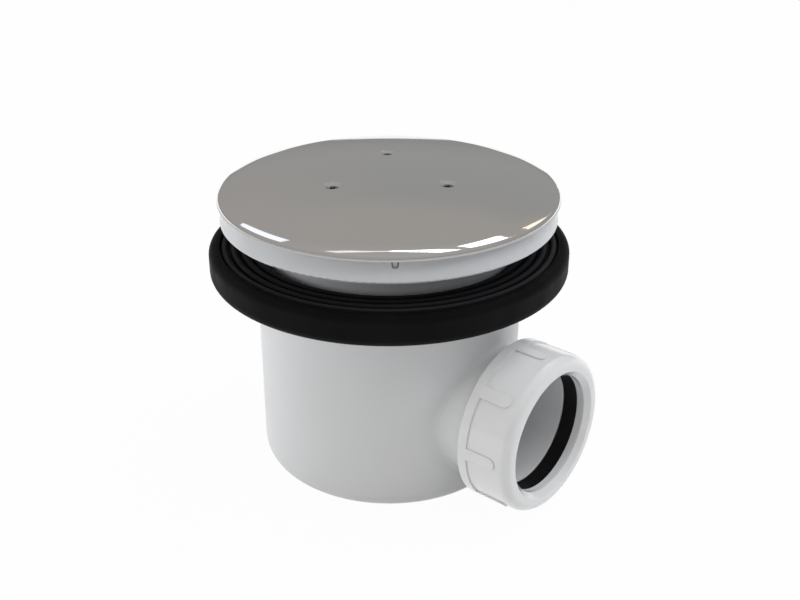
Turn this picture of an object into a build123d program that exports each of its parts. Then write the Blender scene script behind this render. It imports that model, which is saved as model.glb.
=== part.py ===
"""Shower trap: domed cover, clamped flange, ribbed tray gasket, cup-shaped body, side compression outlet.

Millimetres, +Z up. The origin is the centre of the flat base, on the trap's upright axis, and the outlet
runs along +X.
"""
import os
from math import asin, cos, radians, sin, sqrt, tan

from build123d import *

os.makedirs("parts", exist_ok=True)

# Clearances
slip_gap = 0.3
flow_gap = 0.6

# Trap body
body_r = 45.7
body_wall = 2.6
floor_t = 3.0
base_round = 7.2
chamber_head = 13.9
rim_w = 13.1
rim_t = 4.5
rim_foot_round = 2.0
cup_ring_t = 1.6
cup_ring_h = 3.0

# Tray gasket
gasket_skirt = 2.5
gasket_lip_w = 2.2
gasket_lip_t = 2.4
gasket_top_h = 3.65
gasket_bore_gap = 2.1
gasket_band_w = 4.2
gasket_round_share = 0.66
gasket_foot_round = 3.0
gasket_groove = 0.45
rib_count = 4
rib_inset = 2.1
rib_height = 1.3
rib_share = 0.8

# Waste flange
tray_room = 8.55
flange_h = 7.0
flange_w = 14.3
flange_lip_round = 0.9
flange_top_inset = 2.25
flange_top_t = 2.0
flange_top_round = 0.6
flange_rim_t = 3.6
flange_floor_t = 2.6
flange_floor_fall = 0.7
flange_throat = 1.5
neck_wall = 2.9
neck_reach = 3.4
neck_chamfer = 0.8
shelf_w = 4.4
shelf_t = 3.0

# Flat seal under the flange
flange_seal_inset = 3.95
flange_seal_t = 0.9

# Cover
cover_lap = 0.6
cover_edge_h = 1.3
crown_radius = 310.0
shoulder_w = 5.3
shoulder_radius = 20.0
cover_t = 1.2
cover_edge_t = 1.4
cover_edge_round = 1.6
cover_turn = 132.8
boss_r = 4.0
boss_rise = 3.3

# Cover screws
screw_count = 3
screw_circle_r = 21.65
sink_r = 3.05
sink_angle = 90
sink_lift = 0.3
sink_recess = 0.85
head_play = 0.1
screw_shank_r = 1.45
screw_point_r = 0.85
screw_point_h = 1.0
tip_gap = 0.8
recess_w = 0.7
recess_l = 2.6
recess_depth = 0.9

# Cover carrier
carrier_half_w = 5.15
carrier_t = 1.4
arm_w = 7.0
foot_w = 1.5
foot_drop = 3.1
foot_lap = 1.6
foot_set = 0.5
foot_round_share = 0.3
pilot_drop = 3.3

# Dip tube with its funnel
tube_r = 18.0
tube_wall = 1.8
tube_foot_gap = 5.0
funnel_drop = 5.0
funnel_foot_drop = 6.3
funnel_skirt_w = 6.1
funnel_skirt_h = 3.3
collar_h = 8.4
collar_top_t = 2.1
groove_low = 2.6
groove_h = 3.6
groove_depth = 3.0
bar_w = 5.0
bar_h = 3.2
bar_inset = 3.6

# Rubber ring round the collar
ring_play = 0.4
ring_gap = 0.1

# Inner cup
cup_gap = 13.1
cup_wall = 2.0
cup_floor_t = 2.0
cup_round = 4.0
cup_corner = 2.0
water_seal = 50.0

# Outlet
socket_r = 20.25
socket_wall = 2.25
socket_set = 1.8
waterway_step = 1.85
thread_h = 0.9
thread_set = 7.3
stub_root_round = 2.0
seat_depth = 3.2
seat_step = 0.85
seat_lip = 0.5

# Outlet nut
nut_wall = 3.4
nut_set = 6.5
nut_l = 19.1
nut_ground_gap = 3.3
nut_front_round = 3.2
nut_front_t = 3.2
nut_bore_gap = 0.15
mouth_flare = 1.7
mouth_depth = 1.8
band_w = 3.5
band_chamfer = 0.25
tab_h = 0.5
tab_w = 4.3
tab_set = 4.6
tab_blank_h = 4.8
tab_count = 8

# Slip washer and tapered seal
washer_t = 1.3
washer_play = 0.2
seal_head_t = 2.3
seal_bore_gap = 0.05

# Share of a quarter round's radius from its tangents' corner to its middle
round_mid = 1 - sin(radians(45))

# Heights, from the base upwards
tube_bottom_z = floor_t + cup_floor_t + tube_foot_gap
cup_top_z = tube_bottom_z + water_seal
rim_bottom_z = cup_top_z + chamber_head
rim_top_z = rim_bottom_z + rim_t
gasket_bottom_z = rim_bottom_z - slip_gap - gasket_lip_t
gasket_top_z = rim_top_z + gasket_top_h
neck_bottom_z = rim_bottom_z - neck_reach
shelf_z = neck_bottom_z + shelf_t
collar_top_z = shelf_z + collar_h
flange_bottom_z = gasket_top_z + tray_room
flange_top_z = flange_bottom_z + flange_h
floor_edge_z = flange_bottom_z + flange_floor_t
cover_edge_z = flange_top_z + flow_gap
carrier_z = flange_top_z + slip_gap
foot_z = cover_edge_z - foot_drop
boss_z = cover_edge_z + boss_rise
pilot_z = carrier_z - pilot_drop

# Radii round the upright axis, from the body outwards
body_bore = body_r - body_wall
neck_r = body_bore - slip_gap
neck_bore = neck_r - neck_wall
shelf_r = neck_bore - shelf_w
collar_r = neck_bore - slip_gap
groove_r = collar_r - groove_depth
cup_r = body_bore - cup_gap
rim_r = body_r + rim_w
gasket_bore_r = neck_r + gasket_bore_gap
gasket_lip_r = rim_r - gasket_lip_w
gasket_r = rim_r + slip_gap + gasket_skirt
gasket_top_round = gasket_round_share * gasket_band_w
rib_first_r = gasket_bore_r + rib_inset
rib_pitch = (gasket_r - gasket_band_w - rib_first_r) / (rib_count - 1 + rib_share / 2)
flange_lip_r = neck_r + flange_w
flange_top_r = flange_lip_r - flange_top_inset
flange_bowl_r = flange_top_r - flange_rim_t
cover_r = flange_lip_r + cover_lap
foot_in_r = flange_bowl_r - foot_lap
foot_out_r = flange_top_r - foot_set
crown_r = cover_r - shoulder_w
foot_turn = cover_turn + 180 / screw_count
foot_round = foot_round_share * foot_w
screw_hole_r = screw_shank_r + slip_gap

# Radii and distances along the outlet
stub_r = socket_r + socket_wall
thread_r = stub_r + thread_h
thread_bore = thread_r + slip_gap
waterway_r = socket_r - waterway_step
nut_r = thread_bore + nut_wall
band_r = nut_r + tab_h
nut_bore_r = socket_r + nut_bore_gap
nut_mouth_r = nut_bore_r + mouth_flare
washer_r = thread_bore - washer_play
seat_in_r = socket_r + seat_step
seat_out_r = thread_r - seat_lip
outlet_z = band_r + nut_ground_gap
outlet_axis = Axis((0, 0, outlet_z), (1, 0, 0))
socket_start = body_r + socket_set
thread_start = body_r + thread_set
nut_rear = body_r + nut_set
nut_front = nut_rear + nut_l
tab_end = nut_front - tab_set
nut_wall_start = nut_front - nut_front_t
washer_start = nut_wall_start - washer_t
stub_end = washer_start - seal_head_t
seat_start = stub_end - seat_depth


def foot_plane(i):
    """Upright plane on the axis at the feet's underside, facing outwards along the numbered foot."""
    turn = radians(foot_turn + 360 / screw_count * i)
    return Plane((0, 0, foot_z), x_dir=(-sin(turn), cos(turn), 0), z_dir=(cos(turn), sin(turn), 0))


def outlet_profile(points):
    """Sketch points of an outlet piece from (distance along the outlet, radius) pairs."""
    return [(along, outlet_z + radius) for along, radius in points]


# Trap body: cup, top rim and outlet stub in one moulding
with BuildPart() as trap_body:
    with BuildSketch(Plane.XZ):
        with BuildLine():
            base_in = (body_r - base_round, 0)
            base_mid = (body_r - base_round * round_mid, base_round * round_mid)
            Polyline((0, rim_top_z), (0, 0), base_in)
            ThreePointArc(base_in, base_mid, (body_r, base_round))
            Polyline(
                (body_r, base_round),
                (body_r, rim_bottom_z),
                (rim_r, rim_bottom_z),
                (rim_r, rim_top_z),
                (0, rim_top_z),
            )
        make_face()
    revolve(axis=Axis.Z)
    rim_edges = trap_body.edges().filter_by(GeomType.CIRCLE).filter_by(
        lambda e: abs(e.radius - body_r) < 0.01 and abs(e.center().Z - rim_bottom_z) < 0.01
    )
    fillet(rim_edges, rim_foot_round)
    with BuildSketch(Plane.XZ):
        with BuildLine():
            Polyline(
                *outlet_profile(
                    [
                        (0, 0),
                        (0, stub_r),
                        (thread_start, stub_r),
                        (thread_start + thread_r - stub_r, thread_r),
                        (stub_end, thread_r),
                        (stub_end, 0),
                    ]
                ),
                close=True,
            )
        make_face()
    revolve(axis=outlet_axis)
    root_edges = trap_body.edges().filter_by(
        lambda e: e.center().X > body_r / 2
        and e.geom_type not in (GeomType.CIRCLE, GeomType.LINE)
        and e.bounding_box().size.Z > stub_r
    )
    fillet(root_edges, stub_root_round)
    inner_round = base_round - body_wall
    with BuildSketch(Plane.XZ):
        with BuildLine():
            low_in = (body_bore - inner_round, floor_t)
            low_mid = (
                body_bore - inner_round * round_mid,
                floor_t + inner_round * round_mid,
            )
            Polyline((0, rim_top_z), (0, floor_t), low_in)
            ThreePointArc(low_in, low_mid, (body_bore, floor_t + inner_round))
            Polyline((body_bore, floor_t + inner_round), (body_bore, rim_top_z), (0, rim_top_z))
        make_face()
    revolve(axis=Axis.Z, mode=Mode.SUBTRACT)
    with BuildSketch(Plane.XZ):
        with BuildLine():
            Polyline(
                *outlet_profile(
                    [
                        (0, 0),
                        (0, waterway_r),
                        (socket_start, waterway_r),
                        (socket_start, socket_r),
                        (seat_start, socket_r),
                        (seat_start, seat_in_r),
                        (stub_end, seat_out_r),
                        (stub_end, 0),
                    ]
                ),
                close=True,
            )
        make_face()
    revolve(axis=outlet_axis, mode=Mode.SUBTRACT)
    with BuildSketch(Plane.XY.offset(floor_t)):
        Circle(cup_r + 2 * slip_gap + cup_ring_t)
        Circle(cup_r + 2 * slip_gap, mode=Mode.SUBTRACT)
    extrude(amount=cup_ring_h)
trap_body.part.label = "trap_body"
export_step(trap_body.part, "parts/trap_body.step")

# Tray gasket: half-round ribs, rounded outer wall and a lip under the body's rim
with BuildPart() as tray_gasket:
    with BuildSketch(Plane.XZ):
        with BuildLine():
            valley_z = gasket_top_z - rib_height
            rib_half = rib_share * rib_pitch / 2
            last = (gasket_bore_r, valley_z)
            Line((gasket_bore_r, rim_top_z), last)
            for i in range(rib_count):
                crest_r = rib_first_r + i * rib_pitch
                foot = (crest_r - rib_half, valley_z)
                end = (crest_r + rib_half, valley_z)
                Line(last, foot)
                ThreePointArc(foot, (crest_r, gasket_top_z), end)
                last = end
            brow_in = (gasket_r - gasket_top_round, gasket_top_z)
            brow_mid = (gasket_r - gasket_top_round * round_mid, gasket_top_z - gasket_top_round * round_mid)
            brow_out = (gasket_r, gasket_top_z - gasket_top_round)
            heel_out = (gasket_r, gasket_bottom_z + gasket_foot_round)
            heel_mid = (
                gasket_r - gasket_foot_round * round_mid,
                gasket_bottom_z + gasket_foot_round * round_mid,
            )
            heel_in = (gasket_r - gasket_foot_round, gasket_bottom_z)
            Polyline(last, (last[0] + gasket_groove, gasket_top_z), brow_in)
            ThreePointArc(brow_in, brow_mid, brow_out)
            Line(brow_out, heel_out)
            ThreePointArc(heel_out, heel_mid, heel_in)
            Polyline(
                heel_in,
                (gasket_lip_r, gasket_bottom_z),
                (gasket_lip_r, rim_bottom_z - slip_gap),
                (rim_r + slip_gap, rim_bottom_z - slip_gap),
                (rim_r + slip_gap, rim_top_z),
                (gasket_bore_r, rim_top_z),
            )
        make_face()
    revolve(axis=Axis.Z)
tray_gasket.part.label = "tray_gasket"
export_step(tray_gasket.part, "parts/tray_gasket.step")

# Waste flange: rim, sloping bowl and neck with an inner shelf
with BuildPart() as waste_flange:
    with BuildSketch(Plane.XZ):
        with BuildLine():
            lip_in = (flange_lip_r - flange_lip_round, flange_bottom_z)
            lip_mid = (
                flange_lip_r - flange_lip_round * round_mid,
                flange_bottom_z + flange_lip_round * round_mid,
            )
            lip_out = (flange_lip_r, flange_bottom_z + flange_lip_round)
            Polyline(
                (neck_r, neck_bottom_z + neck_chamfer),
                (neck_r, flange_bottom_z),
                lip_in,
            )
            ThreePointArc(lip_in, lip_mid, lip_out)
            top_out = (flange_top_r, flange_top_z - flange_top_round)
            top_peak = (flange_top_r - flange_top_t / 2, flange_top_z)
            top_in = (flange_top_r - flange_top_t, flange_top_z - flange_top_round)
            Line(lip_out, top_out)
            ThreePointArc(top_out, top_peak, top_in)
            Polyline(
                top_in,
                (flange_bowl_r, floor_edge_z),
                (neck_bore + flange_throat, floor_edge_z - flange_floor_fall),
                (neck_bore, floor_edge_z - flange_floor_fall - flange_throat),
                (neck_bore, shelf_z),
                (shelf_r, shelf_z),
                (shelf_r, neck_bottom_z),
                (neck_r - neck_chamfer, neck_bottom_z),
                (neck_r, neck_bottom_z + neck_chamfer),
            )
        make_face()
    revolve(axis=Axis.Z)
    for i in range(screw_count):
        with BuildSketch(foot_plane(i).offset(foot_in_r)) as notch:
            with Locations((0, flange_h / 2)):
                Rectangle(foot_w + 2 * slip_gap, flange_h)
            fillet(notch.vertices().group_by(Axis.Y)[0], foot_round + slip_gap)
        extrude(amount=flange_lip_r - foot_in_r, mode=Mode.SUBTRACT)
waste_flange.part.label = "waste_flange"
export_step(waste_flange.part, "parts/waste_flange.step")

# Flat seal under the flange's rim
with BuildPart() as flange_seal:
    with BuildSketch(Plane.XY.offset(flange_bottom_z - flange_seal_t)):
        Circle(flange_lip_r - flange_seal_inset)
        Circle(neck_r + slip_gap, mode=Mode.SUBTRACT)
    extrude(amount=flange_seal_t)
flange_seal.part.label = "flange_seal"
export_step(flange_seal.part, "parts/flange_seal.step")

# Cover: crown arc, tighter shoulder arc and a short upright edge
crown_angle = asin(crown_r / crown_radius)
shoulder_cr = crown_r - shoulder_radius * sin(crown_angle)
shoulder_angle = asin((cover_r - shoulder_cr) / shoulder_radius)
shoulder_cz = cover_edge_z + cover_edge_h - shoulder_radius * cos(shoulder_angle)
crown_cz = shoulder_cz - (crown_radius - shoulder_radius) * cos(crown_angle)


def on_crown(angle, inset):
    """Profile point on the crown arc at an angle from the axis, moved inwards by the inset."""
    radius = crown_radius - inset
    return (radius * sin(angle), crown_cz + radius * cos(angle))


def on_shoulder(angle, inset):
    """Profile point on the shoulder arc at an angle from upright, moved inwards by the inset."""
    radius = shoulder_radius - inset
    return (shoulder_cr + radius * sin(angle), shoulder_cz + radius * cos(angle))


def crown_z(r):
    """Height of the crown's outer face at a radius from the axis."""
    return crown_cz + sqrt(crown_radius**2 - r**2)


with BuildPart() as cover_plate:
    with BuildSketch(Plane.XZ):
        with BuildLine():
            edge_in_r = cover_r - cover_edge_t
            under_angle = asin((edge_in_r - shoulder_cr) / (shoulder_radius - cover_t))
            mid_angle = (crown_angle + shoulder_angle) / 2
            under_mid = (crown_angle + under_angle) / 2
            shoulder_end = on_shoulder(shoulder_angle, 0)
            under_end = on_shoulder(under_angle, cover_t)
            ThreePointArc(on_crown(0, 0), on_crown(crown_angle / 2, 0), on_crown(crown_angle, 0))
            ThreePointArc(on_crown(crown_angle, 0), on_shoulder(mid_angle, 0), shoulder_end)
            Polyline(
                shoulder_end,
                (cover_r, cover_edge_z),
                (edge_in_r, cover_edge_z),
                under_end,
            )
            ThreePointArc(under_end, on_shoulder(under_mid, cover_t), on_crown(crown_angle, cover_t))
            ThreePointArc(
                on_crown(crown_angle, cover_t), on_crown(crown_angle / 2, cover_t), on_crown(0, cover_t)
            )
            Line(on_crown(0, cover_t), on_crown(0, 0))
        make_face()
    revolve(axis=Axis.Z)
    rim_circles = cover_plate.edges().filter_by(GeomType.CIRCLE).filter_by(
        lambda e: abs(e.radius - cover_r) < 0.01
    )
    fillet(rim_circles.sort_by(Axis.Z)[-1], cover_edge_round)
    sink_z = crown_z(screw_circle_r)
    with BuildSketch(Plane.XY.offset(boss_z)):
        with PolarLocations(screw_circle_r, screw_count, start_angle=cover_turn):
            Circle(boss_r)
    extrude(amount=sink_z - cover_t / 2 - boss_z)
    sink_slope = tan(radians(sink_angle / 2))
    sink_top_r = sink_r + sink_lift * sink_slope
    sink_h = (sink_top_r - screw_hole_r) / sink_slope
    with Locations(Plane.XY.offset(sink_z + sink_lift)):
        with PolarLocations(screw_circle_r, screw_count, start_angle=cover_turn):
            Cone(
                screw_hole_r,
                sink_top_r,
                sink_h,
                align=(Align.CENTER, Align.CENTER, Align.MAX),
                mode=Mode.SUBTRACT,
            )
            Hole(screw_hole_r, depth=sink_z + sink_lift - boss_z)
cover_plate.part.label = "cover_plate"
export_step(cover_plate.part, "parts/cover_plate.step")

# Cover screws: countersunk head with a cross recess, plain shank
head_top_z = sink_z - sink_recess
screw_head_r = sink_r - sink_recess - head_play
head_cone_h = screw_head_r - screw_shank_r
screw_tip_z = pilot_z + tip_gap
with BuildPart() as cover_screws:
    for i in range(screw_count):
        turn = radians(cover_turn + 360 / screw_count * i)
        spot = Plane((screw_circle_r * cos(turn), screw_circle_r * sin(turn), 0))
        with BuildSketch(Plane(spot.origin, x_dir=(1, 0, 0), z_dir=(0, -1, 0))):
            with BuildLine():
                Polyline(
                    (0, screw_tip_z),
                    (screw_point_r, screw_tip_z),
                    (screw_shank_r, screw_tip_z + screw_point_h),
                    (screw_shank_r, head_top_z - head_cone_h),
                    (screw_head_r, head_top_z),
                    (0, head_top_z),
                    close=True,
                )
            make_face()
        revolve(axis=Axis(spot.origin, (0, 0, 1)))
        with BuildSketch(spot.offset(head_top_z)):
            Rectangle(recess_l, recess_w)
            Rectangle(recess_w, recess_l)
        extrude(amount=-recess_depth, mode=Mode.SUBTRACT)
cover_screws.part.label = "cover_screws"
export_step(cover_screws.part, "parts/cover_screws.step")

# Cover carrier: ring with three screw bosses and three arms that end in feet
arm_out_r = foot_in_r + foot_w
with BuildPart() as cover_carrier:
    with BuildSketch(Plane.XY.offset(carrier_z)):
        Circle(screw_circle_r + carrier_half_w)
        Circle(screw_circle_r - carrier_half_w, mode=Mode.SUBTRACT)
        with PolarLocations((screw_circle_r + arm_out_r) / 2, screw_count, start_angle=foot_turn):
            Rectangle(arm_out_r - screw_circle_r, arm_w)
    extrude(amount=carrier_t)
    with BuildSketch(Plane.XY.offset(pilot_z)):
        with PolarLocations(screw_circle_r, screw_count, start_angle=cover_turn):
            Circle(boss_r)
    extrude(amount=boss_z - pilot_z)
    for i in range(screw_count):
        with BuildSketch(foot_plane(i).offset(foot_in_r)) as foot:
            with Locations((0, foot_drop / 2)):
                Rectangle(foot_w, foot_drop)
            fillet(foot.vertices().group_by(Axis.Y)[0], foot_round)
        extrude(amount=foot_out_r - foot_in_r)
    with Locations(Plane.XY.offset(boss_z)):
        with PolarLocations(screw_circle_r, screw_count, start_angle=cover_turn):
            Hole(screw_hole_r, depth=boss_z - pilot_z)
cover_carrier.part.label = "cover_carrier"
export_step(cover_carrier.part, "parts/cover_carrier.step")

# Dip tube: collar on the neck's shelf, funnel, tube and lifting bar
with BuildPart() as dip_tube:
    with BuildSketch(Plane.XZ):
        with BuildLine():
            Polyline(
                (tube_r, tube_bottom_z),
                (tube_r, shelf_z - funnel_drop),
                (collar_r - collar_top_t, collar_top_z),
                (collar_r, collar_top_z),
                (collar_r, shelf_z + groove_low + groove_h),
                (groove_r, shelf_z + groove_low + groove_h),
                (groove_r, shelf_z + groove_low),
                (collar_r, shelf_z + groove_low),
                (collar_r, shelf_z),
                (collar_r - funnel_skirt_w, shelf_z),
                (collar_r - funnel_skirt_w, shelf_z + funnel_skirt_h),
                (tube_r + tube_wall, shelf_z - funnel_foot_drop),
                (tube_r + tube_wall, tube_bottom_z),
                close=True,
            )
        make_face()
    revolve(axis=Axis.Z)
    with BuildSketch(Plane.XY.offset(collar_top_z - bar_h)):
        Rectangle(2 * (collar_r - bar_inset), bar_w)
    extrude(amount=bar_h)
dip_tube.part.label = "dip_tube"
export_step(dip_tube.part, "parts/dip_tube.step")

# Rubber ring in the collar's groove
with BuildPart() as dip_tube_ring:
    with BuildSketch(Plane.XY.offset(shelf_z + groove_low)):
        Circle(neck_bore - ring_gap)
        Circle(groove_r + slip_gap, mode=Mode.SUBTRACT)
    extrude(amount=groove_h - ring_play)
dip_tube_ring.part.label = "dip_tube_ring"
export_step(dip_tube_ring.part, "parts/dip_tube_ring.step")

# Inner cup that stands on the body's floor
with BuildPart() as seal_cup:
    with BuildSketch(Plane.XZ):
        with BuildLine():
            cup_low = (cup_r - cup_round, floor_t)
            cup_mid = (
                cup_r - cup_round * round_mid,
                floor_t + cup_round * round_mid,
            )
            Polyline((0, floor_t), cup_low)
            ThreePointArc(cup_low, cup_mid, (cup_r, floor_t + cup_round))
            Polyline(
                (cup_r, floor_t + cup_round),
                (cup_r, cup_top_z),
                (cup_r - cup_wall, cup_top_z),
                (cup_r - cup_wall, floor_t + cup_floor_t + cup_corner),
                (cup_r - cup_wall - cup_corner, floor_t + cup_floor_t),
                (0, floor_t + cup_floor_t),
                (0, floor_t),
            )
        make_face()
    revolve(axis=Axis.Z)
seal_cup.part.label = "seal_cup"
export_step(seal_cup.part, "parts/seal_cup.step")

# Outlet nut: rear band, eight tabs, rounded nose and chamfered mouth
with BuildPart() as tabs:
    for i in range(tab_count):
        turn = radians(360 / tab_count * i)
        face = Plane((0, 0, outlet_z), x_dir=(1, 0, 0), z_dir=(0, -sin(turn), cos(turn)))
        with BuildSketch(face.offset(nut_r - tab_h)):
            with Locations(((nut_rear + band_w / 2 + tab_end - tab_w / 2) / 2, 0)):
                Rectangle(tab_end - tab_w / 2 - nut_rear - band_w / 2, tab_w)
            with Locations((tab_end - tab_w / 2, 0)):
                Circle(tab_w / 2)
        extrude(amount=tab_blank_h)
    with BuildSketch(Plane((nut_rear, 0, outlet_z), x_dir=(0, 1, 0), z_dir=(1, 0, 0))):
        Circle(band_r)
    extrude(amount=nut_front - nut_rear, mode=Mode.INTERSECT)

with BuildPart() as outlet_nut:
    with BuildSketch(Plane.XZ):
        with BuildLine():
            nose_start = (nut_front - nut_front_round, nut_r)
            nose_mid = (nut_front - nut_front_round * round_mid, nut_r - nut_front_round * round_mid)
            nose_end = (nut_front, nut_r - nut_front_round)
            run = outlet_profile(
                [
                    (nut_rear, thread_bore),
                    (nut_rear, band_r - band_chamfer),
                    (nut_rear + band_chamfer, band_r),
                    (nut_rear + band_w, band_r),
                    (nut_rear + band_w, nut_r),
                    nose_start,
                ]
            )
            back = outlet_profile(
                [
                    nose_end,
                    (nut_front, nut_mouth_r),
                    (nut_front - mouth_depth, nut_bore_r),
                    (nut_wall_start, nut_bore_r),
                    (nut_wall_start, thread_bore),
                    (nut_rear, thread_bore),
                ]
            )
            Polyline(*run)
            ThreePointArc(*outlet_profile([nose_start, nose_mid, nose_end]))
            Polyline(*back)
        make_face()
    revolve(axis=outlet_axis)
    add(tabs.part)
outlet_nut.part.label = "outlet_nut"
export_step(outlet_nut.part, "parts/outlet_nut.step")

# Slip washer behind the nut's front wall
with BuildPart() as outlet_washer:
    with BuildSketch(Plane.XZ):
        with BuildLine():
            Polyline(
                *outlet_profile(
                    [
                        (washer_start, nut_bore_r),
                        (washer_start, washer_r),
                        (nut_wall_start, washer_r),
                        (nut_wall_start, nut_bore_r),
                    ]
                ),
                close=True,
            )
        make_face()
    revolve(axis=outlet_axis)
outlet_washer.part.label = "outlet_washer"
export_step(outlet_washer.part, "parts/outlet_washer.step")

# Tapered seal on the stub's end
seal_bore_r = socket_r + seal_bore_gap
with BuildPart() as outlet_seal:
    with BuildSketch(Plane.XZ):
        with BuildLine():
            Polyline(
                *outlet_profile(
                    [
                        (seat_start + slip_gap, seal_bore_r),
                        (washer_start, seal_bore_r),
                        (washer_start, washer_r),
                        (stub_end, washer_r),
                        (stub_end, seat_out_r - slip_gap),
                        (seat_start + slip_gap, seat_in_r - slip_gap),
                    ]
                ),
                close=True,
            )
        make_face()
    revolve(axis=outlet_axis)
outlet_seal.part.label = "outlet_seal"
export_step(outlet_seal.part, "parts/outlet_seal.step")
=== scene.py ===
"""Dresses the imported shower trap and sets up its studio, lamps and camera."""
import logging
import math
from dataclasses import dataclass
from enum import Enum
from typing import Dict, Optional, Protocol, Sequence, Tuple, Union

import bpy
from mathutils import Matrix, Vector

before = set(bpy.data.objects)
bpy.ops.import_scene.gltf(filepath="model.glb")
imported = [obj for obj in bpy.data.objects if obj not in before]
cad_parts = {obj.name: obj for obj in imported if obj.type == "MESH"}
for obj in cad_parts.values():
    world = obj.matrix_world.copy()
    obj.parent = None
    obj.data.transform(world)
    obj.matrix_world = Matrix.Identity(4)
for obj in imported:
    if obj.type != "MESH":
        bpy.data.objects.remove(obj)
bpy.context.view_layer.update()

Colour = Tuple[float, float, float]
Point = Tuple[float, float, float]
Source = Union[float, bpy.types.NodeSocket]

LOG = logging.getLogger("shower_trap")


class Tool(Enum):
    """How a mould's tool was left, which sets the gloss of what comes out of it."""

    POLISHED = "polished"
    SATIN = "satin"


class Sight(Enum):
    """Whether a lamp shows in glossy surfaces or only lights the matte ones."""

    SEEN = "seen"
    UNSEEN = "unseen"


def new_group(name: str, inputs: Dict[str, float], outputs: Dict[str, str]) -> bpy.types.NodeTree:
    """Starts a shader node group with named sockets.

    Args:
        name: The group's name.
        inputs: Float inputs with their first values.
        outputs: Output names with their socket types.

    Returns:
        The node tree, with its input and output nodes in place.
    """
    tree = bpy.data.node_groups.new(name, "ShaderNodeTree")
    for label, value in inputs.items():
        socket = tree.interface.new_socket(label, in_out="INPUT", socket_type="NodeSocketFloat")
        socket.default_value = value
    for label, kind in outputs.items():
        tree.interface.new_socket(label, in_out="OUTPUT", socket_type=kind)
    tree.nodes.new("NodeGroupInput").name = "in"
    tree.nodes.new("NodeGroupOutput").name = "out"
    return tree


def feed(tree: bpy.types.NodeTree, socket: bpy.types.NodeSocket, source: Source) -> None:
    """Sets an input socket to a number, or links another socket to it.

    Args:
        tree: The node tree that holds the socket.
        socket: The input socket.
        source: A number or an output socket.
    """
    if isinstance(source, (int, float)):
        socket.default_value = source
    else:
        tree.links.new(source, socket)


def math_node(tree: bpy.types.NodeTree, operation: str, *values: Source) -> bpy.types.NodeSocket:
    """Adds a Math node.

    Args:
        tree: The node tree that gets it.
        operation: The Math node's operation.
        values: Numbers, or sockets to link, in the order of its inputs.

    Returns:
        The node's output socket.
    """
    node = tree.nodes.new("ShaderNodeMath")
    node.operation = operation
    for socket, value in zip(node.inputs, values):
        feed(tree, socket, value)
    return node.outputs[0]


def range_node(tree: bpy.types.NodeTree, value: Source, low: float, high: float, to_low: Source = 0.0,
               to_high: Source = 1.0) -> bpy.types.NodeSocket:
    """Adds a clamped Map Range node.

    Args:
        tree: The node tree that gets it.
        value: What is mapped.
        low: The value that maps to to_low.
        high: The value that maps to to_high.
        to_low: The lower result.
        to_high: The upper result.

    Returns:
        The node's output socket.
    """
    node = tree.nodes.new("ShaderNodeMapRange")
    for label, source in (("Value", value), ("From Min", low), ("From Max", high), ("To Min", to_low),
                          ("To Max", to_high)):
        feed(tree, node.inputs[label], source)
    return node.outputs["Result"]


def noise_node(tree: bpy.types.NodeTree, scale: Source, detail: float, roughness: float,
               stretch: Point = (1.0, 1.0, 1.0)) -> bpy.types.NodeSocket:
    """Adds a noise texture over object coordinates.

    Args:
        tree: The node tree that gets it.
        scale: Waves a metre.
        detail: Octaves of the noise.
        roughness: How strong the finer octaves are.
        stretch: Factors on the three coordinates.

    Returns:
        The noise's value socket.
    """
    coords = tree.nodes.new("ShaderNodeTexCoord")
    mapping = tree.nodes.new("ShaderNodeMapping")
    mapping.inputs["Scale"].default_value = stretch
    noise = tree.nodes.new("ShaderNodeTexNoise")
    noise.inputs["Detail"].default_value = detail
    noise.inputs["Roughness"].default_value = roughness
    feed(tree, noise.inputs["Scale"], scale)
    tree.links.new(coords.outputs["Object"], mapping.inputs["Vector"])
    tree.links.new(mapping.outputs["Vector"], noise.inputs["Vector"])
    return noise.outputs["Fac"]


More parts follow.
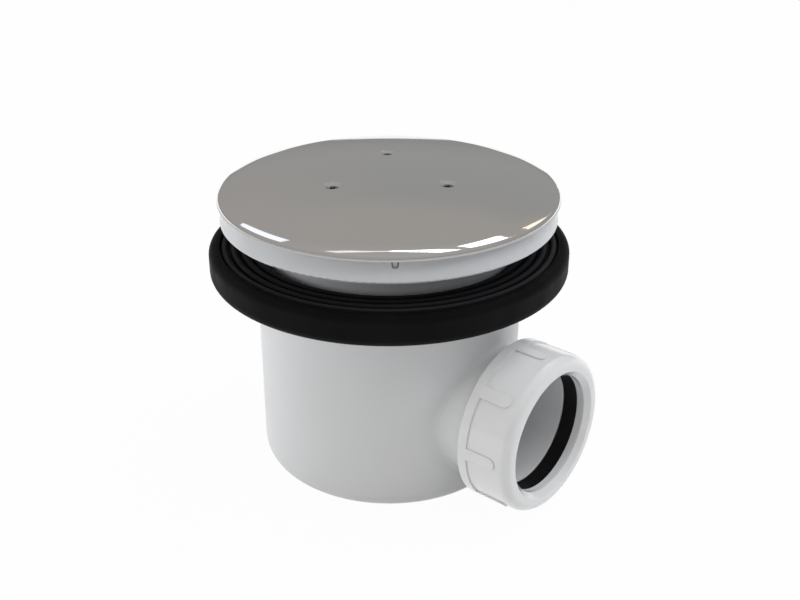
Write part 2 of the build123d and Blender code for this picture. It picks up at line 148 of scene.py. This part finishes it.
class EffectGroups:
    """Shader node groups that several finishes share."""

    COARSE_SCALE: float = 0.27
    FINE_SHARE: float = 0.65
    CLOUD_FROM: float = 0.3
    CLOUD_TO: float = 0.7
    WORN_FROM: float = 0.53
    WORN_TO: float = 0.62
    RUB_SCALE: float = 600.0
    EDGE_SAMPLES: int = 6

    def __init__(self) -> None:
        """Builds each group once."""
        self.grain = self.build_grain()
        self.cloud = self.build_cloud()
        self.rub = self.build_rub()
        self.edge = self.build_edge()

    def build_grain(self) -> bpy.types.NodeTree:
        """Fine tool texture of a moulding, as a height.

        Returns:
            The group, with Scale in and Height out.
        """
        tree = new_group("tool_grain", {"Scale": 2500.0}, {"Height": "NodeSocketFloat"})
        scale = tree.nodes["in"].outputs["Scale"]
        coarse_scale = math_node(tree, "MULTIPLY", scale, self.COARSE_SCALE)
        fine = noise_node(tree, scale, detail=3.0, roughness=0.55)
        coarse = noise_node(tree, coarse_scale, detail=1.0, roughness=0.5)
        mixed = math_node(tree, "ADD", math_node(tree, "MULTIPLY", fine, self.FINE_SHARE),
                          math_node(tree, "MULTIPLY", coarse, 1.0 - self.FINE_SHARE))
        tree.links.new(mixed, tree.nodes["out"].inputs["Height"])
        return tree

    def build_cloud(self) -> bpy.types.NodeTree:
        """Slow variation of colour and gloss over a piece.

        Returns:
            The group, with Scale, Low and High in, and Value between Low and High out.
        """
        tree = new_group("slow_cloud", {"Scale": 45.0, "Low": 0.0, "High": 1.0}, {"Value": "NodeSocketFloat"})
        source = tree.nodes["in"].outputs
        noise = noise_node(tree, source["Scale"], detail=2.0, roughness=0.5)
        value = range_node(tree, noise, self.CLOUD_FROM, self.CLOUD_TO, source["Low"], source["High"])
        tree.links.new(value, tree.nodes["out"].inputs["Value"])
        return tree

    def build_rub(self) -> bpy.types.NodeTree:
        """Where edges are rubbed brighter by handling.

        Returns:
            The group, with Amount in and Mask out.
        """
        tree = new_group("edge_rub", {"Amount": 0.3}, {"Mask": "NodeSocketFloat"})
        geometry = tree.nodes.new("ShaderNodeNewGeometry")
        worn = range_node(tree, geometry.outputs["Pointiness"], self.WORN_FROM, self.WORN_TO)
        patches = noise_node(tree, self.RUB_SCALE, detail=2.0, roughness=0.6)
        broken = math_node(tree, "MULTIPLY", worn, patches)
        amount = math_node(tree, "MULTIPLY", broken, tree.nodes["in"].outputs["Amount"])
        tree.links.new(amount, tree.nodes["out"].inputs["Mask"])
        return tree

    def build_edge(self) -> bpy.types.NodeTree:
        """Softly rounded light along sharp edges, as a normal.

        Returns:
            The group, with Radius in and Normal out.
        """
        tree = new_group("soft_edge", {"Radius": 0.0002}, {"Normal": "NodeSocketVector"})
        bevel = tree.nodes.new("ShaderNodeBevel")
        bevel.samples = self.EDGE_SAMPLES
        tree.links.new(tree.nodes["in"].outputs["Radius"], bevel.inputs["Radius"])
        tree.links.new(bevel.outputs["Normal"], tree.nodes["out"].inputs["Normal"])
        return tree


class Maker:
    """A material under construction, with its shader and output."""

    def __init__(self, name: str) -> None:
        """Starts the material with one Principled shader.

        Args:
            name: The material's name.
        """
        self.material = bpy.data.materials.new(name)
        self.material.use_nodes = True
        self.tree = self.material.node_tree
        self.shader = self.tree.nodes["Principled BSDF"]

    def group(self, tree: bpy.types.NodeTree, output: str, **values: float) -> bpy.types.NodeSocket:
        """Places a node group with its own values.

        Args:
            tree: The group.
            output: The name of the output that is wanted.
            values: Input values by name.

        Returns:
            The wanted output socket.
        """
        node = self.tree.nodes.new("ShaderNodeGroup")
        node.node_tree = tree
        for label, value in values.items():
            node.inputs[label].default_value = value
        return node.outputs[output]

    def constant(self, **values: float) -> None:
        """Sets plain numbers on the shader's own sockets, with _ for the spaces in their names."""
        for label, value in values.items():
            self.shader.inputs[label.replace("_", " ")].default_value = value

    def link(self, source: bpy.types.NodeSocket, socket: str) -> None:
        """Links a value to an input of the shader."""
        self.tree.links.new(source, self.shader.inputs[socket])

    def mix(self, low: Union[Colour, bpy.types.NodeSocket], high: Colour,
            factor: bpy.types.NodeSocket) -> bpy.types.NodeSocket:
        """Mixes two colours by a factor.

        Args:
            low: The colour at a factor of 0, or its socket.
            high: The colour at a factor of 1.
            factor: The socket that mixes them.

        Returns:
            The mixed colour's socket.
        """
        node = self.tree.nodes.new("ShaderNodeMix")
        node.data_type = "RGBA"
        if isinstance(low, tuple):
            node.inputs["A"].default_value = (*low, 1.0)
        else:
            self.tree.links.new(low, node.inputs["A"])
        node.inputs["B"].default_value = (*high, 1.0)
        self.tree.links.new(factor, node.inputs["Factor"])
        return node.outputs["Result"]

    def below(self, level: float, blend: float) -> bpy.types.NodeSocket:
        """Masks what lies under a level of the piece.

        Args:
            level: Height in metres.
            blend: Half the height over which the mask fades.

        Returns:
            The mask's socket, 1 below the level and 0 above it.
        """
        return range_node(self.tree, self.place()["Z"], level - blend, level + blend, 1.0, 0.0)

    def within(self, radius: float, blend: float) -> bpy.types.NodeSocket:
        """Masks what lies inside a radius round the trap's upright axis.

        Args:
            radius: Radius in metres.
            blend: Half the width over which the mask fades.

        Returns:
            The mask's socket, 1 inside the radius and 0 outside it.
        """
        place = self.place()
        squares = [math_node(self.tree, "POWER", place[axis], 2.0) for axis in ("X", "Y")]
        reach = math_node(self.tree, "SQRT", math_node(self.tree, "ADD", *squares))
        return range_node(self.tree, reach, radius - blend, radius + blend, 1.0, 0.0)

    def place(self) -> bpy.types.NodeOutputs:
        """Splits a point's place in the shared frame.

        Returns:
            Its X, Y and Z sockets.
        """
        coords = self.tree.nodes.new("ShaderNodeTexCoord")
        split = self.tree.nodes.new("ShaderNodeSeparateXYZ")
        self.tree.links.new(coords.outputs["Object"], split.inputs["Vector"])
        return split.outputs

    def bump(self, height: bpy.types.NodeSocket, distance: float,
             normal: Optional[bpy.types.NodeSocket] = None) -> None:
        """Turns a height into the shader's normal.

        Args:
            height: The height's socket, from 0 to 1.
            distance: Depth of a full step in metres.
            normal: The normal that the bump starts from, where it isn't the surface's own.
        """
        node = self.tree.nodes.new("ShaderNodeBump")
        node.inputs["Distance"].default_value = distance
        self.tree.links.new(height, node.inputs["Height"])
        if normal is not None:
            self.tree.links.new(normal, node.inputs["Normal"])
        self.link(node.outputs["Normal"], "Normal")


class Finish(Protocol):
    """What every finish has."""

    @property
    def name(self) -> str:
        """The material's name."""

    def make(self, effects: EffectGroups, edge: float) -> bpy.types.Material:
        """Builds the material for a piece with edges of the given roundness."""


@dataclass(frozen=True)
class PlasticFinish:
    """White moulded plastic."""

    name: str
    tool: Tool
    colour: Colour
    shade: Colour
    rough_low: float
    rough_high: float
    specular: float = 0.5
    grain_scale: float = 3200.0
    grain_depth: float = 0.000012
    rub: float = 0.35
    rub_colour: Colour = (0.86, 0.865, 0.87)
    coat: float = 0.2
    coat_rough: float = 0.12
    cloud_scale: float = 38.0
    gloss_scale: float = 95.0
    ior: float = 1.49

    def make(self, effects: EffectGroups, edge: float) -> bpy.types.Material:
        """Builds the material.

        Args:
            effects: The shared node groups.
            edge: Radius of the softened edges in metres.

        Returns:
            The finished material.
        """
        maker = Maker(self.name)
        cloud = maker.group(effects.cloud, "Value", Scale=self.cloud_scale, Low=0.0, High=1.0)
        rub = maker.group(effects.rub, "Mask", Amount=self.rub)
        maker.link(maker.mix(maker.mix(self.colour, self.shade, cloud), self.rub_colour, rub), "Base Color")
        gloss = maker.group(effects.cloud, "Value", Scale=self.gloss_scale, Low=self.rough_low,
                            High=self.rough_high)
        maker.link(gloss, "Roughness")
        grain = maker.group(effects.grain, "Height", Scale=self.grain_scale)
        maker.bump(grain, self.grain_depth, maker.group(effects.edge, "Normal", Radius=edge))
        maker.constant(IOR=self.ior, Specular_IOR_Level=self.specular)
        if self.tool is Tool.POLISHED:
            maker.constant(Coat_Weight=self.coat, Coat_Roughness=self.coat_rough)
        return maker.material


@dataclass(frozen=True)
class RubberFinish:
    """Black moulded rubber with a faint grey bloom, and a painted grey-blue sheen on its ribbed top where a
    sheen level is given.
    """

    name: str
    colour: Colour
    bloom: Colour
    rough_low: float
    rough_high: float
    specular: float
    grain_scale: float = 2600.0
    grain_depth: float = 0.00002
    # Level, radius, colour and fade of a painted sheen: a grey-blue painted highlight on the ribbed top,
    # where the rib crests catch the light.
    sheen_level: float = 0.0
    sheen_r: float = 0.0
    sheen_colour: Colour = (0.03, 0.031, 0.034)
    sheen_blend: float = 0.0003
    rub: float = 0.5
    cloud_scale: float = 60.0
    gloss_scale: float = 140.0
    ior: float = 1.5

    def make(self, effects: EffectGroups, edge: float) -> bpy.types.Material:
        """Builds the material.

        Args:
            effects: The shared node groups.
            edge: Radius of the softened edges in metres.

        Returns:
            The finished material.
        """
        maker = Maker(self.name)
        cloud = maker.group(effects.cloud, "Value", Scale=self.cloud_scale, Low=0.0, High=1.0)
        rub = maker.group(effects.rub, "Mask", Amount=self.rub)
        colour = maker.mix(maker.mix(self.colour, self.bloom, cloud), self.bloom, rub)
        # Paints the sheen: the ribbed top above the level and inside the radius turns grey-blue, a painted
        # highlight standing in for light on the rib crests.
        if self.sheen_level:
            above = math_node(maker.tree, "SUBTRACT", 1.0, maker.below(self.sheen_level, self.sheen_blend))
            inside = maker.within(self.sheen_r, self.sheen_blend)
            colour = maker.mix(colour, self.sheen_colour, math_node(maker.tree, "MULTIPLY", above, inside))
        maker.link(colour, "Base Color")
        gloss = maker.group(effects.cloud, "Value", Scale=self.gloss_scale, Low=self.rough_low,
                            High=self.rough_high)
        maker.link(gloss, "Roughness")
        grain = maker.group(effects.grain, "Height", Scale=self.grain_scale)
        maker.bump(grain, self.grain_depth, maker.group(effects.edge, "Normal", Radius=edge))
        maker.constant(IOR=self.ior, Specular_IOR_Level=self.specular)
        return maker.material


@dataclass(frozen=True)
class PlatedFinish:
    """Plated or bright metal with faint polishing lines."""

    name: str
    colour: Colour
    shade: Colour
    rough_low: float
    rough_high: float
    line_scale: float
    line_depth: float
    cut_top: float = 0.0
    cut_colour: Colour = (0.55, 0.54, 0.53)
    cut_rough: float = 0.4
    cut_blend: float = 0.00015
    cloud_scale: float = 24.0
    gloss_scale: float = 160.0
    line_stretch: Point = (0.04, 1.0, 1.0)

    def make(self, effects: EffectGroups, edge: float) -> bpy.types.Material:
        """Builds the material.

        Args:
            effects: The shared node groups.
            edge: Radius of the softened edges in metres.

        Returns:
            The finished material.
        """
        maker = Maker(self.name)
        cloud = maker.group(effects.cloud, "Value", Scale=self.cloud_scale, Low=0.0, High=1.0)
        colour = maker.mix(self.colour, self.shade, cloud)
        gloss = maker.group(effects.cloud, "Value", Scale=self.gloss_scale, Low=self.rough_low,
                            High=self.rough_high)
        if self.cut_top:
            cut = maker.below(self.cut_top, self.cut_blend)
            colour = maker.mix(colour, self.cut_colour, cut)
            duller = math_node(maker.tree, "MULTIPLY", cut, self.cut_rough)
            gloss = math_node(maker.tree, "ADD", gloss, duller)
        maker.link(colour, "Base Color")
        maker.link(gloss, "Roughness")
        lines = noise_node(maker.tree, self.line_scale, detail=2.0, roughness=0.6, stretch=self.line_stretch)
        maker.bump(lines, self.line_depth, maker.group(effects.edge, "Normal", Radius=edge))
        maker.constant(Metallic=1.0)
        return maker.material


def dress(nodes: Sequence[str], finish: Finish, edge: float, effects: EffectGroups) -> None:
    """Gives CAD nodes one finish.

    Args:
        nodes: The nodes' names.
        finish: The finish.
        edge: Radius of the softened edges in metres.
        effects: The shared node groups.
    """
    material = finish.make(effects, edge)
    for name in nodes:
        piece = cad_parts[name]
        piece.data.materials.clear()
        piece.data.materials.append(material)
        LOG.info("%s wears %s", name, finish.name)


@dataclass
class CoverSet:
    """Domed chrome cover, its three screws and the white carrier under it."""

    plate_edge: float = 0.0001
    cut_top: float = 0.0989
    screw_edge: float = 0.0001
    carrier_edge: float = 0.00025

    def dress(self, effects: EffectGroups) -> None:
        """Dresses the cover, screws and carrier.

        Args:
            effects: The shared node groups.
        """
        chrome = PlatedFinish("polished_chrome", colour=(0.925, 0.915, 0.9), shade=(0.91, 0.9, 0.885),
                              rough_low=0.03, rough_high=0.05, line_scale=900.0, line_depth=0.0000006,
                              cut_top=self.cut_top)
        steel = PlatedFinish("bright_screw", colour=(0.3, 0.3, 0.31), shade=(0.24, 0.24, 0.25),
                             rough_low=0.28, rough_high=0.4, line_scale=3000.0, line_depth=0.000004)
        white = PlasticFinish("carrier_white", Tool.SATIN, colour=(0.72, 0.73, 0.75), shade=(0.7, 0.71, 0.73),
                              rough_low=0.35, rough_high=0.45)
        dress(("cover_plate",), chrome, self.plate_edge, effects)
        dress(("cover_screws",), steel, self.screw_edge, effects)
        dress(("cover_carrier",), white, self.carrier_edge, effects)


@dataclass
class ClampFlange:
    """White flange whose neck screws into the body, with the flat seal under its rim."""

    flange_edge: float = 0.0003
    seal_edge: float = 0.00015

    def dress(self, effects: EffectGroups) -> None:
        """Dresses the flange and its flat seal.

        Args:
            effects: The shared node groups.
        """
        # Set darker than the body's white: a painted shade for the cover's overhang, which darkens the whole
        # flange.
        white = PlasticFinish("flange_white", Tool.POLISHED, colour=(0.67, 0.68, 0.7),
                              shade=(0.655, 0.665, 0.685), rough_low=0.2, rough_high=0.28)
        black = RubberFinish("flange_seal_black", colour=(0.004, 0.004, 0.004), bloom=(0.007, 0.007, 0.007),
                             rough_low=0.65, rough_high=0.75, specular=0.2)
        dress(("waste_flange",), white, self.flange_edge, effects)
        dress(("flange_seal",), black, self.seal_edge, effects)


@dataclass
class TrapBody:
    """White cup body with its outlet stub, and the ribbed gasket on its rim."""

    body_edge: float = 0.0003
    gasket_edge: float = 0.00015
    # Level and radius that bound the painted sheen, a grey-blue painted highlight, on the gasket's ribbed
    # top.
    rib_sheen_level: float = 0.0818
    rib_sheen_r: float = 0.0573

    def dress(self, effects: EffectGroups) -> None:
        """Dresses the body and the gasket.

        Args:
            effects: The shared node groups.
        """
        white = PlasticFinish("body_white", Tool.SATIN, colour=(0.76, 0.765, 0.77),
                              shade=(0.745, 0.75, 0.755), rough_low=0.34, rough_high=0.42)
        black = RubberFinish("gasket_black", colour=(0.004, 0.004, 0.0042), bloom=(0.006, 0.006, 0.0063),
                             rough_low=0.52, rough_high=0.62, specular=0.06, sheen_level=self.rib_sheen_level,
                             sheen_r=self.rib_sheen_r)
        dress(("trap_body",), white, self.body_edge, effects)
        dress(("tray_gasket",), black, self.gasket_edge, effects)


@dataclass
class WaterSeal:
    """Lift-out dip tube with its rubber ring, and the cup that it dips into."""

    tube_edge: float = 0.0002
    ring_edge: float = 0.0003

    def dress(self, effects: EffectGroups) -> None:
        """Dresses the dip tube, the ring and the cup.

        Args:
            effects: The shared node groups.
        """
        white = PlasticFinish("insert_white", Tool.SATIN, colour=(0.74, 0.75, 0.76), shade=(0.72, 0.73, 0.74),
                              rough_low=0.36, rough_high=0.46)
        black = RubberFinish("ring_black", colour=(0.004, 0.004, 0.004), bloom=(0.007, 0.007, 0.007),
                             rough_low=0.6, rough_high=0.7, specular=0.2)
        dress(("dip_tube", "seal_cup"), white, self.tube_edge, effects)
        dress(("dip_tube_ring",), black, self.ring_edge, effects)


@dataclass
class OutletJoint:
    """White compression nut with its slip washer and black tapered seal."""

    nut_edge: float = 0.0003
    washer_edge: float = 0.0001
    seal_edge: float = 0.0002

    def dress(self, effects: EffectGroups) -> None:
        """Dresses the nut, the washer and the seal.

        Args:
            effects: The shared node groups.
        """
        # Set a little lighter than the body's white: painted light standing in for the light on the nut's
        # top.
        white = PlasticFinish("nut_white", Tool.POLISHED, colour=(0.8, 0.8, 0.805),
                              shade=(0.785, 0.785, 0.79), rough_low=0.2, rough_high=0.27, coat=0.8,
                              coat_rough=0.1)
        slip = PlasticFinish("washer_white", Tool.SATIN, colour=(0.74, 0.74, 0.75), shade=(0.72, 0.72, 0.73),
                             rough_low=0.32, rough_high=0.42)
        black = RubberFinish("seal_black", colour=(0.004, 0.004, 0.004), bloom=(0.006, 0.006, 0.006),
                             rough_low=0.6, rough_high=0.7, specular=0.2)
        dress(("outlet_nut",), white, self.nut_edge, effects)
        dress(("outlet_washer",), slip, self.washer_edge, effects)
        dress(("outlet_seal",), black, self.seal_edge, effects)


@dataclass(frozen=True)
class Lamp:
    """One soft rectangular lamp, aimed at the trap.

    The azimuth is in degrees from the camera's side towards its right, the elevation in degrees, the
    lengths in metres and the power in watts.
    """

    name: str
    azimuth: float
    elevation: float
    distance: float
    width: float
    height: float
    power: float
    colour: Colour = (1.0, 1.0, 1.0)
    sight: Sight = Sight.SEEN

    def hang(self, camera_side: float, target: Vector) -> None:
        """Adds the lamp to the scene.

        Args:
            camera_side: The camera's azimuth in radians.
            target: The point that the lamp faces.
        """
        azimuth = camera_side + math.radians(self.azimuth)
        elevation = math.radians(self.elevation)
        reach = Vector((math.cos(azimuth) * math.cos(elevation), math.sin(azimuth) * math.cos(elevation),
                        math.sin(elevation))) * self.distance
        data = bpy.data.lights.new(self.name, "AREA")
        data.shape = "RECTANGLE"
        data.size, data.size_y = self.width, self.height
        data.energy = self.power
        data.color = self.colour
        lamp = bpy.data.objects.new(self.name, data)
        lamp.location = target + reach
        lamp.rotation_euler = (-reach).to_track_quat("-Z", "Y").to_euler()
        lamp.visible_glossy = self.sight is Sight.SEEN
        bpy.context.scene.collection.objects.link(lamp)


# Name, azimuth, elevation, distance, width, height and power of each lamp.
LAMPS: Tuple[Lamp, ...] = (
    Lamp("key", -84.0, 11.0, 1.4, 0.9, 0.7, 6.4, (0.97, 0.985, 1.0), Sight.UNSEEN),
    Lamp("edge_left", -120.0, 8.0, 1.5, 0.6, 0.6, 5.8, (0.94, 0.97, 1.0), Sight.UNSEEN),
    Lamp("front_fill", 0.0, 25.0, 1.5, 0.6, 0.6, 0.8, sight=Sight.UNSEEN),
    Lamp("front_high", 0.0, 64.0, 1.5, 0.6, 0.6, 0.8, sight=Sight.UNSEEN),
    Lamp("high_right", 48.0, 62.0, 1.5, 0.6, 0.6, 3.0, sight=Sight.UNSEEN),
    Lamp("side_window", 88.0, 36.0, 1.5, 0.9, 0.5, 4.3, (0.88, 0.94, 1.0), Sight.UNSEEN),
    Lamp("back_right", 118.0, 62.0, 1.5, 0.6, 0.6, 4.5, (0.9, 0.95, 1.0), Sight.UNSEEN),
    Lamp("top", 0.0, 88.0, 1.5, 0.6, 0.6, 1.3, (0.96, 0.98, 1.0), Sight.UNSEEN),
    Lamp("window_left", -140.0, 44.5, 1.6, 0.42, 0.4, 0.44, (0.84, 0.9, 1.0)),
    Lamp("window_right", 142.5, 53.5, 1.6, 0.46, 0.28, 0.68),
    Lamp("skylight", 163.0, 62.5, 1.6, 0.45, 0.09, 0.3),
    Lamp("skylight_left", -163.0, 63.0, 1.6, 0.52, 0.06, 0.06),
    Lamp("warm_right", 146.0, 35.0, 1.6, 0.18, 0.4, 0.21, (1.0, 0.83, 0.68)),
)

# The room's colour over the height of a direction, from 0 at the horizon to 1 overhead.
ROOM_RIGHT: Tuple[Tuple[float, Colour], ...] = (
    (0.0, (0.385, 0.385, 0.385)),
    (0.1, (0.45, 0.45, 0.45)),
    (0.2, (0.475, 0.475, 0.475)),
    (0.3, (0.467, 0.47, 0.465)),
    (0.47, (0.465, 0.465, 0.46)),
    (0.56, (0.525, 0.505, 0.485)),
    (0.72, (0.53, 0.51, 0.49)),
    (0.92, (0.56, 0.55, 0.54)),
    (1.0, (0.58, 0.57, 0.56)),
)

ROOM_LEFT: Tuple[Tuple[float, Colour], ...] = (
    (0.0, (0.4, 0.4, 0.4)),
    (0.1, (0.46, 0.455, 0.45)),
    (0.2, (0.49, 0.478, 0.468)),
    (0.3, (0.5, 0.48, 0.465)),
    (0.47, (0.52, 0.5, 0.485)),
    (0.72, (0.525, 0.505, 0.488)),
    (0.92, (0.56, 0.55, 0.54)),
    (1.0, (0.58, 0.57, 0.56)),
)


@dataclass(frozen=True)
class Studio:
    """Floor, room, lamps and camera."""

    floor_half: float = 7.0
    floor_drop: float = 0.0001
    backdrop_height: float = 0.25
    floor_colour: Colour = (0.8, 0.8, 0.8)
    floor_rough: float = 0.9
    floor_specular: float = 0.1
    floor_glow: float = 0.97
    room_level: float = 0.645
    room_blend: float = 0.25
    target: Point = (0.0, 0.0, 0.0)
    eye: Point = (0.23860, -0.27449, 0.23532)
    forward: Point = (-0.5826, 0.6842, -0.4387)
    lens: float = 51.59
    sensor: float = 36.0
    near_clip: float = 0.01

    def build(self) -> None:
        """Sets up the whole studio."""
        self.add_floor()
        self.add_room()
        for lamp in LAMPS:
            lamp.hang(self.camera_side(), Vector(self.target))
            LOG.info("lamp %s", lamp.name)
        self.add_camera()
        bpy.context.scene.view_settings.view_transform = "Standard"

    def camera_side(self) -> float:
        """The camera's azimuth in radians."""
        return math.atan2(-self.forward[1], -self.forward[0])

    def add_floor(self) -> None:
        """Lays a plain pale floor with a low backdrop far off, which shows white and keeps a soft shadow."""
        mesh = bpy.data.meshes.new("floor")
        half = self.floor_half
        corners = ((-half, -half), (half, -half), (half, half), (-half, half))
        points = [(*corner, level) for level in (0.0, self.backdrop_height) for corner in corners]
        walls = [(i, (i + 1) % 4, (i + 1) % 4 + 4, i + 4) for i in range(4)]
        mesh.from_pydata(points, [], [(0, 1, 2, 3), *walls])
        floor = bpy.data.objects.new("floor", mesh)
        bpy.context.scene.collection.objects.link(floor)
        floor.location.z = -self.floor_drop
        mesh.materials.append(self.make_paper())

    def make_paper(self) -> bpy.types.Material:
        """Builds the floor's material, which glows white only where it is seen or mirrored.

        Returns:
            The finished material.
        """
        maker = Maker("floor_paper")
        tree = maker.tree
        maker.shader.inputs["Base Color"].default_value = (*self.floor_colour, 1.0)
        maker.constant(Roughness=self.floor_rough, Specular_IOR_Level=self.floor_specular)
        path = tree.nodes.new("ShaderNodeLightPath")
        seen = math_node(tree, "MAXIMUM", path.outputs["Is Camera Ray"], path.outputs["Is Glossy Ray"])
        seen = math_node(tree, "MAXIMUM", seen, path.outputs["Is Transmission Ray"])
        glow = tree.nodes.new("ShaderNodeEmission")
        mix = tree.nodes.new("ShaderNodeMixShader")
        tree.links.new(math_node(tree, "MULTIPLY", seen, self.floor_glow), mix.inputs["Fac"])
        tree.links.new(maker.shader.outputs["BSDF"], mix.inputs[1])
        tree.links.new(glow.outputs["Emission"], mix.inputs[2])
        tree.links.new(mix.outputs["Shader"], tree.nodes["Material Output"].inputs["Surface"])
        maker.material.cycles.emission_sampling = "NONE"
        return maker.material

    def add_ramp(self, tree: bpy.types.NodeTree, height: bpy.types.NodeSocket,
                 stops: Sequence[Tuple[float, Colour]]) -> bpy.types.NodeSocket:
        """Adds a colour ramp over the height of a direction.

        Args:
            tree: The world's node tree.
            height: The socket with the direction's height.
            stops: Places on the ramp with their colours.

        Returns:
            The ramp's colour socket.
        """
        node = tree.nodes.new("ShaderNodeValToRGB")
        elements = node.color_ramp.elements
        elements[0].position, elements[1].position = stops[0][0], stops[-1][0]
        elements[0].color, elements[1].color = (*stops[0][1], 1.0), (*stops[-1][1], 1.0)
        for place, colour in stops[1:-1]:
            elements.new(place).color = (*colour, 1.0)
        tree.links.new(height, node.inputs["Fac"])
        return node.outputs["Color"]

    def add_room(self) -> None:
        """Sets a grey studio room, lighter overhead and a little warmer on its left side."""
        world = bpy.data.worlds.new("studio_room")
        bpy.context.scene.world = world
        world.use_nodes = True
        tree = world.node_tree
        coords = tree.nodes.new("ShaderNodeTexCoord")
        split = tree.nodes.new("ShaderNodeSeparateXYZ")
        tree.links.new(coords.outputs["Generated"], split.inputs["Vector"])
        side = tree.nodes.new("ShaderNodeVectorMath")
        side.operation = "DOT_PRODUCT"
        tree.links.new(coords.outputs["Generated"], side.inputs[0])
        left = self.camera_side() - math.pi / 2
        side.inputs[1].default_value = (math.cos(left), math.sin(left), 0.0)
        mix = tree.nodes.new("ShaderNodeMix")
        mix.data_type = "RGBA"
        tree.links.new(range_node(tree, side.outputs["Value"], 0.0, self.room_blend), mix.inputs["Factor"])
        tree.links.new(self.add_ramp(tree, split.outputs["Z"], ROOM_RIGHT), mix.inputs["A"])
        tree.links.new(self.add_ramp(tree, split.outputs["Z"], ROOM_LEFT), mix.inputs["B"])
        tree.links.new(mix.outputs["Result"], tree.nodes["Background"].inputs["Color"])
        tree.nodes["Background"].inputs["Strength"].default_value = self.room_level

    def add_camera(self) -> None:
        """Places the camera at the photograph's viewing angle."""
        data = bpy.data.cameras.new("camera")
        data.sensor_width = self.sensor
        data.lens = self.lens
        data.clip_start = self.near_clip
        camera = bpy.data.objects.new("camera", data)
        camera.location = self.eye
        camera.rotation_euler = Vector(self.forward).to_track_quat("-Z", "Y").to_euler()
        bpy.context.scene.collection.objects.link(camera)
        bpy.context.scene.camera = camera


def main() -> None:
    """Dresses every piece of the trap and sets up the studio."""
    logging.basicConfig(level=logging.INFO, format="%(message)s")
    effects = EffectGroups()
    for assembly in (CoverSet(), ClampFlange(), TrapBody(), WaterSeal(), OutletJoint()):
        assembly.dress(effects)
    Studio().build()


if __name__ == "__main__":
    main()
